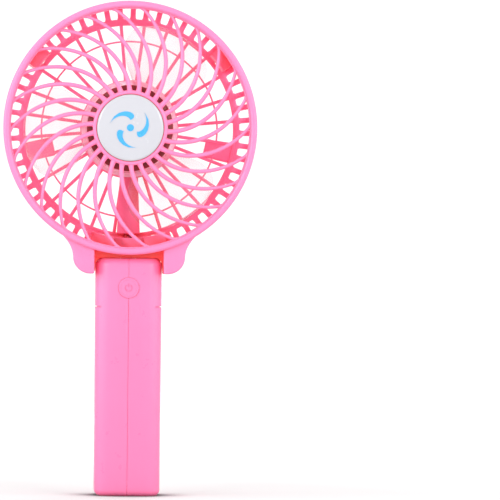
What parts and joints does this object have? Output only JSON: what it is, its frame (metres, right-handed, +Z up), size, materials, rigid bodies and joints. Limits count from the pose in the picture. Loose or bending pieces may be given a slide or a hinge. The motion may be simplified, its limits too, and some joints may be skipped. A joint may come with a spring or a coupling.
{
  "type": "handheld folding fan",
  "caption": "Battery handheld fan: round grilled head with a clear impeller on a handle that folds up behind it, so that the head stands on its feet.",
  "frame": {"origin": "middle of the overall width and depth, at the bottom of the handle", "axes": "+Z up along the handle, -Y the front the air leaves from, +X to the right seen from the front"},
  "size_m": [0.107, 0.038, 0.2089],
  "materials": {
    "pink_plastic": "moulded, satin gloss",
    "white_plastic": "smooth gloss",
    "clear_plastic": "translucent, lightly frosted",
    "steel": "plain",
    "zinc_steel": "zinc plated",
    "black_magnet": "bonded ferrite",
    "black_plastic": "matt",
    "copper": "wound copper and laminations",
    "red_insulation": "soft vinyl",
    "black_insulation": "soft vinyl",
    "board_green": "solder mask",
    "cell_wrap": null,
    "frosted_plastic": "frosted light guide",
    "led_clear": "clear lens"
  },
  "bodies": {
    "head": {"front_shell": "pink_plastic", "front_grille": "pink_plastic", "badge_disc": "white_plastic", "rear_shell": "pink_plastic", "rear_grille": "pink_plastic", "shell_screw_1": "zinc_steel", "shell_screw_2": "zinc_steel", "shell_screw_3": "zinc_steel", "shell_screw_4": "zinc_steel", "motor_can": "zinc_steel", "motor_magnet_ring": "black_magnet", "motor_end_cap": "white_plastic", "head_lead_red": "red_insulation", "head_lead_black": "black_insulation", "pivot_pin_left": "steel", "pivot_pin_right": "steel"},
    "rotor": {"impeller": "clear_plastic", "armature": "copper", "motor_shaft": "steel"},
    "handle": {"handle_shell_left": "pink_plastic", "handle_shell_right": "pink_plastic", "button_ring": "frosted_plastic", "circuit_board": "board_green", "tact_switch": "black_plastic", "status_led": "led_clear", "usb_socket": "zinc_steel", "handle_lead_red": "red_insulation", "handle_lead_black": "black_insulation", "battery_cell": "cell_wrap", "battery_contact": "zinc_steel", "battery_spring": "steel"},
    "button": {"power_button": "pink_plastic", "switch_plunger": "black_plastic"},
    "cover": {"battery_cover": "pink_plastic"}
  },
  "joints": [
    {"name": "handle_fold", "type": "hinge", "parent": "head", "child": "handle", "pos_m": [0, 0.0123, 0.0974], "axis": [1, 0, 0], "range_deg": [0, 180]},
    {"name": "rotor_spin", "type": "hinge", "parent": "head", "child": "rotor", "pos_m": [0, 0, 0.1554], "axis": [0, 1, 0], "continuous": true},
    {"name": "button_press", "type": "slide", "parent": "handle", "child": "button", "axis": [0, 1, 0], "range_m": [0, 0.0005], "stiffness_N_per_m": 1500},
    {"name": "cover_off", "type": "slide", "parent": "handle", "child": "cover", "axis": [0, 0, -1], "range_m": [0, 0.03]}
  ]
}
